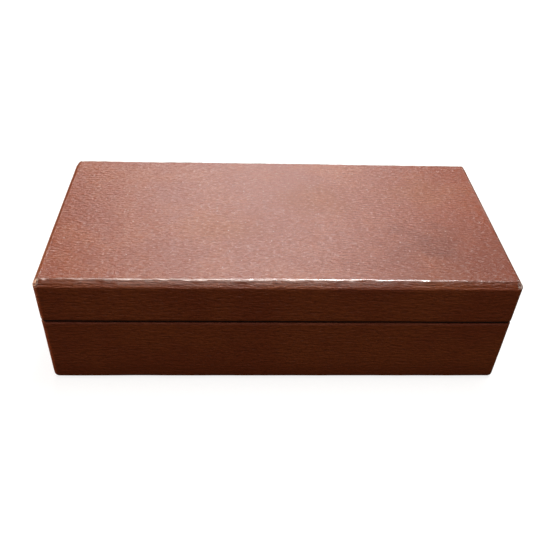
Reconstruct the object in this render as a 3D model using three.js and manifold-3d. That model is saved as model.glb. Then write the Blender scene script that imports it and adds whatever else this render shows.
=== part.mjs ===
// A leather-covered jewellery case with a hinged lid and a lift-out tray.
//
// Millimetres, +Z up. The origin is the centre of the underside, +X runs along the case to the
// right and +Y runs to the back, where the hinges are. A wooden box and lid are covered in
// leather and lined with card panels. The back edges of the two rims are planed to a slope, and
// the lid stops where those slopes meet.

import * as THREE from "three";
import { mergeVertices } from "three/addons/utils/BufferGeometryUtils.js";
import Module from "manifold-3d";

// ---- Driving dimensions -----------------------------------------------------------------------

// The closed case.
const LENGTH = 216;
const DEPTH = 103.5;
const HEIGHT = 62;
const JOINT_HEIGHT = 38.6;
const RIM_GAP = 0.8;
const CORNER_RADIUS = 3;
const LID_CHAMFER = 2.4;
const RIM_CHAMFER = 1;

// Thicknesses, from the outside in.
const LEATHER = 1.2;
const GLUE = 0.2;
const WALL = 6.5;
const FLOOR_BOARD = 3;
const TOP_BOARD = 4;
const UNDERSIDE_SHEET = 1;
const UNDERSIDE_INSET = 2;
const TURN_UNDER = 14;
const LINING_GAP = 0.5;
const LINING = 1.5;
const FLOOR_PAD = 2;
const LID_PAD = 3.8;

// The lining stands above the base's rim at the front and sides, and the lid drops over it.
const LIP_RISE = 3.2;
const LIP_CLEARANCE = 0.6;

// Hinges.
const HINGE_X = 62;
const HINGE_LENGTH = 25;
const PIN_INSET = 1.7;
const STOP_SLOPE = THREE.MathUtils.degToRad(51);
const KNUCKLES = 5;
const KNUCKLE_GAP = 0.3;
const KNUCKLE_RADIUS = 1.6;
const BORE_RADIUS = 0.79;
const PIN_RADIUS = 0.7;
const PIN_OVERHANG = 0.3;
const LEAF = 1.1;
const LEAF_CLEARANCE = 0.2;
const TROUGH_CLEARANCE = 0.3;
const NOTCH_EDGE = 2;
const SCREW_SPACING = 17;
const SCREW_HEAD_RADIUS = 1.3;
const SCREW_HEAD_DEPTH = 0.7;
const SCREW_SHANK_RADIUS = 0.55;
const SCREW_LENGTH = 5;
const SCREW_HOLE_RADIUS = 0.8;
const COUNTERSINK_CLEARANCE = 0.12;
const SLOT_WIDTH = 0.4;
const SLOT_DEPTH = 0.35;

// The lift-out tray, and what it rests on.
const TRAY_CLEARANCE = 0.8;
const TRAY_BOTTOM = 19.5;
const TRAY_TOP = 37;
const TRAY_WALL = 3;
const TRAY_FLOOR = 2;
const TRAY_DIVIDER = 2;
const DIVIDER_DROP = 1;
const REST_WIDTH = 3;
const BASE_DIVIDER = 3;
const BASE_DIVIDER_X = -20;
const FINGER_RADIUS = 9;
const RING_SECTION_X = 6;
const LONG_DIVIDER_Y = 12;
const SHORT_DIVIDER_X = -44;
const RING_ROLLS = 6;
const RING_ROLL_GAP = 0.4;

const ROUND_STEPS = 16;
const CORNER_STEPS = 5;

// ---- Levels and insets that follow from them ---------------------------------------------------

const WOOD_INSET = LEATHER + GLUE;
const WOOD_INNER = WOOD_INSET + WALL;
const LINING_OUTER = WOOD_INNER + LINING_GAP;
const LINING_INNER = LINING_OUTER + LINING;

const BASE_RIM = JOINT_HEIGHT - RIM_GAP / 2;
const LID_RIM = JOINT_HEIGHT + RIM_GAP / 2;
const BAND_BOTTOM = UNDERSIDE_SHEET + GLUE;
const BOARD_BOTTOM = BAND_BOTTOM + LEATHER + GLUE;
const BOARD_TOP = BOARD_BOTTOM + FLOOR_BOARD;
const FLOOR_LEVEL = BOARD_TOP + GLUE + FLOOR_PAD;
const BASE_WOOD_TOP = BASE_RIM - LEATHER - GLUE;
const LID_WOOD_BOTTOM = LID_RIM + LEATHER + GLUE;
const LID_BOARD_TOP = HEIGHT - LEATHER - GLUE;
const LID_BOARD_BOTTOM = LID_BOARD_TOP - TOP_BOARD;
const LID_WOOD_TOP = LID_BOARD_BOTTOM - GLUE;
const LIP_TOP = BASE_RIM + LIP_RISE;

const AXIS_Y = DEPTH / 2 - PIN_INSET;
const LEAF_INNER_Y = DEPTH / 2 - WOOD_INNER + LEAF_CLEARANCE;
const SCREW_Y = (LEAF_INNER_Y + AXIS_Y - NOTCH_EDGE) / 2;
const KNUCKLE_PITCH = (HINGE_LENGTH + KNUCKLE_GAP) / KNUCKLES;
const KNUCKLE = KNUCKLE_PITCH - KNUCKLE_GAP;

const TRAY_X = LENGTH / 2 - LINING_INNER - TRAY_CLEARANCE;
const TRAY_Y = DEPTH / 2 - LINING_INNER - TRAY_CLEARANCE;
const TRAY_INNER_X = TRAY_X - TRAY_WALL;
const TRAY_INNER_Y = TRAY_Y - TRAY_WALL;
const TRAY_WALL_BOTTOM = TRAY_BOTTOM + TRAY_FLOOR + GLUE;

// ---- Materials ---------------------------------------------------------------------------------

const leather = new THREE.MeshStandardMaterial({ color: 0x5b2c1c, roughness: 0.5, metalness: 0 });
const wood = new THREE.MeshStandardMaterial({ color: 0xb98d5c, roughness: 0.75, metalness: 0 });
const suede = new THREE.MeshStandardMaterial({ color: 0xb08a62, roughness: 0.95, metalness: 0 });
const satin = new THREE.MeshStandardMaterial({ color: 0xd9c6a5, roughness: 0.45, metalness: 0 });
const baize = new THREE.MeshStandardMaterial({ color: 0x3a241a, roughness: 0.95, metalness: 0 });
const brass = new THREE.MeshStandardMaterial({ color: 0xc09a4e, roughness: 0.3, metalness: 1 });

// ---- Solids and booleans -----------------------------------------------------------------------

const wasm = await Module();
wasm.setup();

// A closed three.js geometry as a manifold-3d solid.
function solid(geometry) {
  const bare = geometry.clone();
  bare.deleteAttribute("normal");
  bare.deleteAttribute("uv");
  const merged = mergeVertices(bare, 1e-4);
  const triangles = [];
  for (let i = 0; i < merged.index.count; i += 3) {
    const [a, b, c] = [0, 1, 2].map((k) => merged.index.getX(i + k));
    if (a !== b && b !== c && c !== a) triangles.push(a, b, c);
  }
  return new wasm.Manifold(
    new wasm.Mesh({
      numProp: 3,
      vertProperties: new Float32Array(merged.attributes.position.array),
      triVerts: new Uint32Array(triangles),
    }),
  );
}

// A manifold-3d solid as a flat-shaded three.js geometry.
function geometryOf(made) {
  const { vertProperties, triVerts } = made.getMesh();
  const indexed = new THREE.BufferGeometry();
  indexed.setAttribute("position", new THREE.BufferAttribute(vertProperties, 3));
  indexed.setIndex(new THREE.BufferAttribute(triVerts, 1));
  const flat = indexed.toNonIndexed();
  flat.computeVertexNormals();
  return flat;
}

// A box from its lowest corner to its highest.
function box([x0, y0, z0], [x1, y1, z1]) {
  const geometry = new THREE.BoxGeometry(x1 - x0, y1 - y0, z1 - z0);
  return geometry.translate((x0 + x1) / 2, (y0 + y1) / 2, (z0 + z1) / 2);
}

// A box centred on the case's middle, set in from the case's sides by an inset.
function insetBox(inset, z0, z1) {
  const [x, y] = [LENGTH / 2 - inset, DEPTH / 2 - inset];
  return box([-x, -y, z0], [x, y, z1]);
}

// A cylinder along X, centred on the origin.
function rodX(radius, length) {
  return new THREE.CylinderGeometry(radius, radius, length, ROUND_STEPS).rotateZ(Math.PI / 2);
}

// A rectangle centred on the origin, with round corners if it has a radius.
function rectangle(halfX, halfY, radius) {
  const shape = new THREE.Shape();
  if (radius === 0) {
    shape.moveTo(-halfX, -halfY);
    shape.lineTo(halfX, -halfY);
    shape.lineTo(halfX, halfY);
    shape.lineTo(-halfX, halfY);
    return shape;
  }
  shape.moveTo(halfX, -halfY + radius);
  shape.absarc(halfX - radius, halfY - radius, radius, 0, Math.PI / 2);
  shape.absarc(-halfX + radius, halfY - radius, radius, Math.PI / 2, Math.PI);
  shape.absarc(-halfX + radius, -halfY + radius, radius, Math.PI, 1.5 * Math.PI);
  shape.absarc(halfX - radius, -halfY + radius, radius, 1.5 * Math.PI, 2 * Math.PI);
  return shape;
}

// A block set in from the case's sides, with the edges of its top and bottom chamfered alike.
function chamferedBlock(inset, radius, chamfer, z0, z1) {
  const shape = rectangle(LENGTH / 2 - inset, DEPTH / 2 - inset, radius);
  const geometry = new THREE.ExtrudeGeometry(shape, {
    depth: z1 - z0 - 2 * chamfer,
    curveSegments: CORNER_STEPS,
    bevelEnabled: true,
    bevelThickness: chamfer,
    bevelSize: chamfer,
    bevelOffset: -chamfer,
    bevelSegments: 1,
  });
  return solid(geometry.translate(0, 0, z0 + chamfer));
}

// What the hinge side's stop slope takes away: the side of a sloping plane through the pin's axis
// that faces the joint. side is -1 for the base and 1 for the lid, and offset moves the plane into
// that half.
function stopWedge(side, offset) {
  const reach = 12;
  const [along, rise] = [Math.cos(STOP_SLOPE), side * Math.sin(STOP_SLOPE)];
  const [startY, startZ] = [-offset * Math.sin(STOP_SLOPE), side * offset * Math.cos(STOP_SLOPE)];
  const shape = new THREE.Shape([
    new THREE.Vector2(startY - reach * along, startZ - reach * rise),
    new THREE.Vector2(startY + reach * along, startZ + reach * rise),
    new THREE.Vector2(startY + reach * along, startZ - reach * rise),
  ]);
  const geometry = new THREE.ExtrudeGeometry(shape, { depth: LENGTH + 20, bevelEnabled: false });
  // The outline's first coordinate becomes Y and its second becomes Z.
  geometry.rotateY(Math.PI / 2).rotateX(Math.PI / 2);
  geometry.translate(-LENGTH / 2 - 10, AXIS_Y, JOINT_HEIGHT);
  return solid(geometry);
}

function screwPlaces() {
  return [-SCREW_SPACING / 2, SCREW_SPACING / 2];
}

// The room that one hinge needs in both rims: a window for the leaves, a trough for the barrel
// and holes for the screws.
function hingeRoom(x) {
  const half = HINGE_LENGTH / 2 + LEAF_CLEARANCE;
  const reach = KNUCKLE_RADIUS + LEAF_CLEARANCE;
  const [low, high] = [JOINT_HEIGHT - reach, JOINT_HEIGHT + reach];
  const window = box([x - half, DEPTH / 2 - WOOD_INNER - 1, low], [x + half, AXIS_Y, high]);
  const troughLength = HINGE_LENGTH + 2 * (PIN_OVERHANG + TROUGH_CLEARANCE);
  const trough = rodX(KNUCKLE_RADIUS + TROUGH_CLEARANCE, troughLength);
  const holeLength = 2 * (SCREW_LENGTH + KNUCKLE_RADIUS);
  let room = solid(window).add(solid(trough.translate(x, AXIS_Y, JOINT_HEIGHT)));
  for (const screwX of screwPlaces()) {
    const radius = SCREW_HOLE_RADIUS;
    const hole = new THREE.CylinderGeometry(radius, radius, holeLength, ROUND_STEPS);
    hole.rotateX(Math.PI / 2).translate(x + screwX, SCREW_Y, JOINT_HEIGHT);
    room = room.add(solid(hole));
  }
  return room;
}

// What both the slope and the two hinges take from one half's back edge.
function backEdgeCuts(side, offset) {
  return stopWedge(side, offset).add(hingeRoom(-HINGE_X)).add(hingeRoom(HINGE_X));
}

// ---- Meshes and groups -------------------------------------------------------------------------

function mesh(name, geometry, material) {
  const made = new THREE.Mesh(geometry, material);
  made.name = name;
  return made;
}

// A plain panel between two corners, as a centred box that its position puts in place.
function panel(name, low, high, material) {
  const size = high.map((value, i) => value - low[i]);
  const made = mesh(name, new THREE.BoxGeometry(...size), material);
  made.position.set(...high.map((value, i) => (value + low[i]) / 2));
  return made;
}

// Four panels round a rectangle. The front and back run the full length, and the two sides fit
// between them. tops gives each one's top, in the order front, back, left, right.
function ringOfPanels(prefix, outer, thickness, z0, tops, material) {
  const [x, y] = [LENGTH / 2 - outer, DEPTH / 2 - outer];
  const sideY = y - thickness - GLUE;
  return [
    panel(`${prefix}_front`, [-x, -y, z0], [x, -y + thickness, tops[0]], material),
    panel(`${prefix}_back`, [-x, y - thickness, z0], [x, y, tops[1]], material),
    panel(`${prefix}_left`, [-x, -sideY, z0], [-x + thickness, sideY, tops[2]], material),
    panel(`${prefix}_right`, [x - thickness, -sideY, z0], [x, sideY, tops[3]], material),
  ];
}

// ---- Base --------------------------------------------------------------------------------------

// One band of leather round the walls, turned over the rim and under the floor board.
function baseLeather() {
  const skin = chamferedBlock(0, CORNER_RADIUS, RIM_CHAMFER, BAND_BOTTOM, BASE_RIM);
  const core = solid(insetBox(LEATHER, BAND_BOTTOM + LEATHER, BASE_RIM - LEATHER));
  const mouth = solid(insetBox(WOOD_INNER, BAND_BOTTOM + LEATHER + 1, BASE_RIM + 1));
  const underside = solid(insetBox(TURN_UNDER, BAND_BOTTOM - 1, BAND_BOTTOM + LEATHER + 1));
  return skin
    .subtract(backEdgeCuts(-1, 0))
    .subtract(core.subtract(stopWedge(-1, LEATHER)))
    .subtract(mouth)
    .subtract(underside);
}

// The four wooden walls of one half. The back one is planed to the slope and cut for the hinges.
function woodenWalls(prefix, side, z0, z1) {
  const walls = ringOfPanels(prefix, WOOD_INSET, WALL, z0, Array(4).fill(z1), wood);
  const x = LENGTH / 2 - WOOD_INSET;
  const [inner, outer] = [DEPTH / 2 - WOOD_INNER, DEPTH / 2 - WOOD_INSET];
  const back = solid(box([-x, inner, z0], [x, outer, z1]));
  walls[1] = mesh(walls[1].name, geometryOf(back.subtract(backEdgeCuts(side, WOOD_INSET))), wood);
  return walls;
}

function base() {
  const group = new THREE.Group();
  const [x, y] = [LENGTH / 2, DEPTH / 2];
  const under = [x - UNDERSIDE_INSET, y - UNDERSIDE_INSET];
  const board = [x - WOOD_INSET, y - WOOD_INSET];
  const pad = [x - LINING_OUTER, y - LINING_OUTER];
  const walls = BOARD_TOP + GLUE;
  const liningTops = [LIP_TOP, BASE_RIM, LIP_TOP, LIP_TOP];
  group.add(
    panel("base_underside_sheet", [-under[0], -under[1], 0], [...under, UNDERSIDE_SHEET], baize),
    panel("base_floor_board", [-board[0], -board[1], BOARD_BOTTOM], [...board, BOARD_TOP], wood),
    ...woodenWalls("base_wall", -1, walls, BASE_WOOD_TOP),
    mesh("base_leather_band", geometryOf(baseLeather()), leather),
    panel("base_lining_floor", [-pad[0], -pad[1], walls], [...pad, FLOOR_LEVEL], suede),
    ...ringOfPanels("base_lining", LINING_OUTER, LINING, FLOOR_LEVEL + GLUE, liningTops, suede),
    ...trayRests(),
  );
  return group;
}

// The tray stands on a rail at each end and on the divider of the lower level.
function trayRests() {
  const [x, y] = [LENGTH / 2 - LINING_INNER - GLUE, DEPTH / 2 - LINING_INNER - GLUE];
  const [low, high] = [FLOOR_LEVEL + GLUE, TRAY_BOTTOM - GLUE];
  const middle = BASE_DIVIDER / 2;
  return [
    panel("tray_rest_left", [-x, -y, low], [-x + REST_WIDTH, y, high], suede),
    panel("tray_rest_right", [x - REST_WIDTH, -y, low], [x, y, high], suede),
    panel("base_divider", [BASE_DIVIDER_X - middle, -y, low], [BASE_DIVIDER_X + middle, y, high], suede),
  ];
}

// ---- Lid ---------------------------------------------------------------------------------------

// The lid's outline at some depth inside its surface, cut off level at its bottom. Its chamfer
// gets smaller with the depth, which keeps the layers between two outlines of even thickness.
function lidBlock(inset, radius, z0) {
  const chamfer = LID_CHAMFER - inset * (2 - Math.SQRT2);
  const tall = chamferedBlock(inset, radius, chamfer, z0 - chamfer - 1, HEIGHT - inset);
  return tall.intersect(solid(insetBox(-1, z0, HEIGHT + 1)));
}

function lidLeather() {
  const skin = lidBlock(0, CORNER_RADIUS, LID_RIM);
  const core = lidBlock(LEATHER, 0, LID_RIM + LEATHER);
  const mouth = solid(insetBox(WOOD_INNER, LID_RIM - 1, LID_BOARD_BOTTOM));
  return skin
    .subtract(backEdgeCuts(1, 0))
    .subtract(core.subtract(stopWedge(1, LEATHER)))
    .subtract(mouth);
}

function lid() {
  const group = new THREE.Group();
  const [padX, padY] = [LENGTH / 2 - LINING_INNER - GLUE, DEPTH / 2 - LINING_INNER - GLUE];
  const padTop = LID_BOARD_BOTTOM - GLUE;
  const linings = Array(4).fill(padTop);
  group.add(
    mesh("lid_top_board", geometryOf(lidBlock(WOOD_INSET, 0, LID_BOARD_BOTTOM)), wood),
    ...woodenWalls("lid_wall", 1, LID_WOOD_BOTTOM, LID_WOOD_TOP),
    mesh("lid_leather_cover", geometryOf(lidLeather()), leather),
    ...ringOfPanels("lid_lining", LINING_OUTER, LINING, LIP_TOP + LIP_CLEARANCE, linings, suede),
    panel("lid_pad", [-padX, -padY, padTop - LID_PAD], [padX, padY, padTop], satin),
  );
  return group;
}

// ---- Hinges ------------------------------------------------------------------------------------

// Where the knuckles of one leaf start along the barrel: the base's are the first, third and
// fifth, and the lid's are the second and fourth.
function knuckleStarts(side) {
  const starts = [];
  for (let i = side < 0 ? 0 : 1; i < KNUCKLES; i += 2) {
    starts.push(-HINGE_LENGTH / 2 + i * KNUCKLE_PITCH);
  }
  return starts;
}

// A countersunk screw, or the room for one when it is made larger all round. It points down, and
// the top of its head is at the origin.
function screwBlank(extra) {
  const shank = SCREW_SHANK_RADIUS + extra;
  const head = SCREW_HEAD_RADIUS + extra;
  const profile = [
    new THREE.Vector2(0, -SCREW_LENGTH),
    new THREE.Vector2(shank, 2 * SCREW_SHANK_RADIUS - SCREW_LENGTH),
    new THREE.Vector2(shank, -SCREW_HEAD_DEPTH - extra),
    new THREE.Vector2(head, -extra),
    new THREE.Vector2(head, extra),
    new THREE.Vector2(0, extra),
  ];
  if (extra === 0) profile.splice(4, 1);
  return new THREE.LatheGeometry(profile, ROUND_STEPS).rotateX(Math.PI / 2);
}

function slottedScrew() {
  const slot = box([-2, -SLOT_WIDTH / 2, -SLOT_DEPTH], [2, SLOT_WIDTH / 2, 1]);
  return solid(screwBlank(0)).subtract(solid(slot));
}

// A leaf on the base's side of the joint, with the pin's axis through the origin.
function hingeLeaf(starts) {
  const half = HINGE_LENGTH / 2;
  const [low, high] = [-KNUCKLE_RADIUS, -KNUCKLE_RADIUS + LEAF];
  let leaf = solid(box([-half, LEAF_INNER_Y - AXIS_Y, low], [half, -NOTCH_EDGE, high]));
  for (const start of starts) {
    const web = box([start, -NOTCH_EDGE - 0.2, low], [start + KNUCKLE, 0, high]);
    const barrel = rodX(KNUCKLE_RADIUS, KNUCKLE).translate(start + KNUCKLE / 2, 0, 0);
    leaf = leaf.add(solid(web)).add(solid(barrel));
  }
  leaf = leaf.subtract(solid(rodX(BORE_RADIUS, HINGE_LENGTH + 2)));
  for (const x of screwPlaces()) {
    const sunk = screwBlank(COUNTERSINK_CLEARANCE).translate(x, SCREW_Y - AXIS_Y, high);
    leaf = leaf.subtract(solid(sunk));
  }
  return leaf;
}

// One leaf with its screws. The lid's leaf is made as the base's is, with its own knuckles, and
// then mirrored in the joint's plane.
function leafAndScrews(place, half, side) {
  const group = new THREE.Group();
  const leaf = hingeLeaf(knuckleStarts(side));
  const flipped = side < 0 ? leaf : leaf.mirror([0, 0, 1]);
  group.add(mesh(`hinge_${place}_${half}_leaf`, geometryOf(flipped), brass));
  for (const [i, x] of screwPlaces().entries()) {
    const screw = mesh(`hinge_${place}_${half}_screw_${i + 1}`, geometryOf(slottedScrew()), brass);
    screw.position.set(x, SCREW_Y - AXIS_Y, side * (KNUCKLE_RADIUS - LEAF));
    if (side > 0) screw.rotation.x = Math.PI;
    group.add(screw);
  }
  return group;
}

function hinge(place, x) {
  const group = new THREE.Group();
  const pin = rodX(PIN_RADIUS, HINGE_LENGTH + 2 * PIN_OVERHANG);
  group.add(
    leafAndScrews(place, "base", -1),
    mesh(`hinge_${place}_pin`, pin, brass),
    leafAndScrews(place, "lid", 1),
  );
  group.position.set(x, AXIS_Y, JOINT_HEIGHT);
  return group;
}

// ---- Tray --------------------------------------------------------------------------------------

// An end wall with a half-round notch for a finger in its top edge.
function trayEndWall(name, x0) {
  const y = TRAY_INNER_Y - GLUE;
  const outline = new THREE.Shape();
  outline.moveTo(-y, TRAY_WALL_BOTTOM);
  outline.lineTo(y, TRAY_WALL_BOTTOM);
  outline.lineTo(y, TRAY_TOP);
  outline.lineTo(FINGER_RADIUS, TRAY_TOP);
  outline.absarc(0, TRAY_TOP, FINGER_RADIUS, 0, -Math.PI, true);
  outline.lineTo(-y, TRAY_TOP);
  const depth = { depth: TRAY_WALL, curveSegments: 12, bevelEnabled: false };
  const geometry = new THREE.ExtrudeGeometry(outline, depth);
  geometry.rotateY(Math.PI / 2).rotateX(Math.PI / 2);
  const made = mesh(name, geometry, suede);
  made.position.set(x0, 0, 0);
  return made;
}

// The rolls lie side by side along X, and rings are pushed into the grooves between them.
function ringRolls() {
  const room = 2 * (TRAY_INNER_Y - GLUE);
  const pitch = room / RING_ROLLS;
  const radius = (pitch - RING_ROLL_GAP) / 2;
  const x0 = RING_SECTION_X + TRAY_DIVIDER / 2 + GLUE;
  const x1 = TRAY_INNER_X - GLUE;
  const rolls = [];
  for (let i = 0; i < RING_ROLLS; i++) {
    const made = mesh(`ring_roll_${i + 1}`, rodX(radius, x1 - x0), suede);
    made.position.set((x0 + x1) / 2, (i + 0.5) * pitch - room / 2, TRAY_WALL_BOTTOM + radius);
    rolls.push(made);
  }
  return rolls;
}

function tray() {
  const group = new THREE.Group();
  const half = TRAY_DIVIDER / 2;
  const [low, high] = [TRAY_WALL_BOTTOM, TRAY_TOP];
  const top = TRAY_TOP - DIVIDER_DROP;
  const y = TRAY_INNER_Y - GLUE;
  const x = TRAY_INNER_X - GLUE;
  const ringLeft = RING_SECTION_X - half;
  const longY = [LONG_DIVIDER_Y - half, LONG_DIVIDER_Y + half];
  const shortX = [SHORT_DIVIDER_X - half, SHORT_DIVIDER_X + half];
  group.add(
    panel("tray_floor", [-TRAY_X, -TRAY_Y, TRAY_BOTTOM], [TRAY_X, TRAY_Y, low - GLUE], suede),
    panel("tray_wall_front", [-TRAY_X, -TRAY_Y, low], [TRAY_X, -TRAY_INNER_Y, high], suede),
    panel("tray_wall_back", [-TRAY_X, TRAY_INNER_Y, low], [TRAY_X, TRAY_Y, high], suede),
    trayEndWall("tray_wall_left", -TRAY_X),
    trayEndWall("tray_wall_right", TRAY_INNER_X),
    panel("tray_ring_divider", [ringLeft, -y, low], [RING_SECTION_X + half, y, top], suede),
    panel("tray_long_divider", [-x, longY[0], low], [ringLeft - GLUE, longY[1], top], suede),
    panel("tray_short_divider", [shortX[0], -y, low], [shortX[1], longY[0] - GLUE, top], suede),
    ...ringRolls(),
  );
  return group;
}

// ---- The whole case ----------------------------------------------------------------------------

const jewelleryCase = new THREE.Group();
jewelleryCase.add(base(), lid(), hinge("left", -HINGE_X), hinge("right", HINGE_X), tray());

export default jewelleryCase;
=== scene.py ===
# %% [markdown]
# # A leather-covered jewellery case
#
# This lesson dresses a finished frame: the wooden case, its hinges, linings and lift-out tray are
# already solids with exact sizes. Each step below replaces a plain solid with the piece as a
# maker would finish it, or gives the solid its material. All lengths are in metres.

import math

import bmesh
import bpy
from mathutils import Matrix, Vector


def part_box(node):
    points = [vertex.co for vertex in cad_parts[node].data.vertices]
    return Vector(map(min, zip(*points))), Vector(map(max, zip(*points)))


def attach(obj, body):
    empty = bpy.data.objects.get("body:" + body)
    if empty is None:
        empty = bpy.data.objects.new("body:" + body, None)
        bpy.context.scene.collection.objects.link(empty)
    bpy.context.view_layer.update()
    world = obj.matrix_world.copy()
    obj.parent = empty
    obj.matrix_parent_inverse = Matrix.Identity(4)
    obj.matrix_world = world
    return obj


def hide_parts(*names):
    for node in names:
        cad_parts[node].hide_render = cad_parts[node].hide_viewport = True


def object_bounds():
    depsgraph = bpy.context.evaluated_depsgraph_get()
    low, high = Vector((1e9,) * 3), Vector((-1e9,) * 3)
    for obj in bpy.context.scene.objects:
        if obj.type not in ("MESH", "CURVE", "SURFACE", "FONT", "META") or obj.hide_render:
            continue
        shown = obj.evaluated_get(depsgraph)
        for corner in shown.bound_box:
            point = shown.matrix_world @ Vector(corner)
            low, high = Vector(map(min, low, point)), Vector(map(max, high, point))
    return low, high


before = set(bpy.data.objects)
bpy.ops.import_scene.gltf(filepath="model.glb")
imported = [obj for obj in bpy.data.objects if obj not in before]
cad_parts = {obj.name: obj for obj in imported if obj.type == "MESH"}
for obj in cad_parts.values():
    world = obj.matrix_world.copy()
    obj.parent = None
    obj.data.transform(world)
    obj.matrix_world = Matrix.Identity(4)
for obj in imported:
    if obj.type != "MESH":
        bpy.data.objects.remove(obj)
cad_low, cad_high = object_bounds()
MM = 0.001
print("closed case, mm:", [round(side / MM, 1) for side in cad_high - cad_low])

# %% [markdown]
# ## The camera
#
# The case is seen from a little above and from just left of its middle, by someone standing over
# a table. The camera is placed first, so that every later choice can be judged through it. Its
# turn is built from three plain turns: the tilt down, the turn to the right, and a small roll.

# %% Place the camera
CAMERA_PLACE = Vector((-0.0193, -0.2652, 0.2467))
CAMERA_LENS = 44.13
TILT_DOWN = math.radians(39.36)
TURN_RIGHT = math.radians(3.25)
ROLL = math.radians(2.48)

camera = bpy.data.objects.new("camera", bpy.data.cameras.new("camera"))
bpy.context.scene.collection.objects.link(camera)
camera.data.lens = CAMERA_LENS
camera.data.sensor_width = 36
camera.data.clip_start = 0.01
camera.matrix_world = (
    Matrix.Translation(CAMERA_PLACE)
    @ Matrix.Rotation(-TURN_RIGHT, 4, "Z")
    @ Matrix.Rotation(math.pi / 2 - TILT_DOWN, 4, "X")
    @ Matrix.Rotation(ROLL, 4, "Z")
)
bpy.context.scene.camera = camera
print("camera stands", round(CAMERA_PLACE.length, 3), "m from the middle of the underside")

# %% [markdown]
# ## Shader sums written as Python
#
# A procedural material is a long sum, and a sum is easier to read as `1 - mask * 0.4` than as a
# chain of boxes. The class below wraps one socket. Each operator adds the Math node it stands
# for, and `node` adds any other kind: its settings are made first, then its sockets are filled
# with plain values or linked to other fields.


# %% The socket class
class Field:
    def __init__(self, tree, socket=None):
        self.tree = tree
        self.socket = socket

    def node(self, kind, settings=None, sockets=None, output=0):
        made = self.tree.nodes.new(kind)
        for name, value in (settings or {}).items():
            setattr(made, name, value)
        for name, value in (sockets or {}).items():
            if isinstance(value, Field):
                self.tree.links.new(value.socket, made.inputs[name])
            else:
                made.inputs[name].default_value = value
        return Field(self.tree, made.outputs[output] if made.outputs else None)

    def math(self, operation, *values):
        return self.node("ShaderNodeMath", {"operation": operation}, dict(enumerate(values)))

    def __add__(self, other):
        return self.math("ADD", self, other)

    def __sub__(self, other):
        return self.math("SUBTRACT", self, other)

    def __rsub__(self, other):
        return self.math("SUBTRACT", other, self)

    def __mul__(self, other):
        return self.math("MULTIPLY", self, other)

    def __abs__(self):
        return self.math("ABSOLUTE", self)

    __radd__ = __add__
    __rmul__ = __mul__


# %% [markdown]
# Four small helpers cover what nearly every finish here needs: stretching a pattern along one
# direction, cloudy noise, a soft step between two values, and blending two colours.


# %% Pattern helpers
def stretch(vector, scales):
    return vector.node("ShaderNodeVectorMath", {"operation": "MULTIPLY"}, {0: vector, 1: scales})


def noise(vector, scale=1.0, detail=2.0, roughness=0.5, distortion=0.0):
    sockets = {"Vector": vector, "Scale": scale, "Detail": detail}
    sockets |= {"Roughness": roughness, "Distortion": distortion}
    return vector.node("ShaderNodeTexNoise", None, sockets)


def step(value, low, high):
    settings = {"interpolation_type": "SMOOTHSTEP"}
    return value.node("ShaderNodeMapRange", settings, {0: value, 1: low, 2: high})


def blend(share, first, second):
    return share.node("ShaderNodeMix", {"data_type": "RGBA"}, {0: share, 6: first, 7: second}, 2)


# %% [markdown]
# Every finish starts from an empty node tree and ends the same way. A height goes through a Bump
# node into the normal, and the other values fill the sockets of one Principled BSDF.


# %% Start and close a finish
def start_finish(name):
    material = bpy.data.materials.new(name)
    material.use_nodes = True
    material.node_tree.nodes.clear()
    return material, Field(material.node_tree)


def close_finish(field, bump, strength, distance, **sockets):
    relief = {"Height": bump, "Strength": strength, "Distance": distance}
    normal = field.node("ShaderNodeBump", None, relief)
    values = {name.replace("_", " "): value for name, value in sockets.items()}
    shader = field.node("ShaderNodeBsdfPrincipled", None, values | {"Normal": normal})
    field.node("ShaderNodeOutputMaterial", None, {"Surface": shader})


# %% [markdown]
# ## The leather
#
# The cover is a straight-grained hide: fine creases that run along the case, broken and a little
# wavy, over a dark red-brown. Handling has left it with cloudier patches and grey scuffs where the
# lid's corners have been knocked. Pale glints and specks on the top are painted highlights, and the
# lid is darker towards its front right as painted shade. The creases follow the leather as it is
# wrapped, so they read a flat map that each piece carries, called grain. The wear, the painted
# specks and the painted shade belong to places on the case, so they read the object's own
# coordinates.

# %% Colours of the hide, and where its edges are
HIDE_COLOR = (0.200, 0.044, 0.0155, 1)
HIDE_DARK = (0.120, 0.020, 0.005, 1)
HIDE_WARM = (0.235, 0.060, 0.018, 1)
HIDE_RUBBED = (0.215, 0.072, 0.022, 1)
# Near-black painted into the joint between lid and base, as painted shadow in the gap.
GAP_SHADOW_COLOR = (0.006, 0.0015, 0.001, 1)
# Pale grey of the scuffs, also used for the painted highlights on the top.
SCUFF_AND_GLINT_COLOR = (0.44, 0.40, 0.38, 1)
LID_CHAMFER = 2.4 * MM
RIM_Z = 38.6 * MM
print("lid and base meet", round(RIM_Z / MM, 1), "mm up")

# %% [markdown]
# Each layer of the grain is cloudy noise drawn out along the case: broad folds, creases, finer
# creases, and pores. The scales count patches in a metre, so a crease is about 3 mm long and 1 mm
# wide. A slow wave bends all the layers together, or they would look ruled. Noise is also flattest
# along the lines of its own grid, and every grid has a line through 0. There the layers would add
# up to a streak across the lid, so the map is shifted far enough that their lines don't meet.

# %% Layers of the grain
FOLD_SCALE = (130.0, 700.0, 1.0)
CREASE_SCALE = (290.0, 950.0, 1.0)
FINE_CREASE_SCALE = (700.0, 1900.0, 1.0)
PORE_SCALE = (520.0, 1150.0, 1.0)
WAVE_SCALE = (75.0, 75.0, 1.0)
WAVE_HEIGHT = 1.5 * MM
GRAIN_SHIFT_X, GRAIN_SHIFT_Y = 3.717, 1.313


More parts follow.
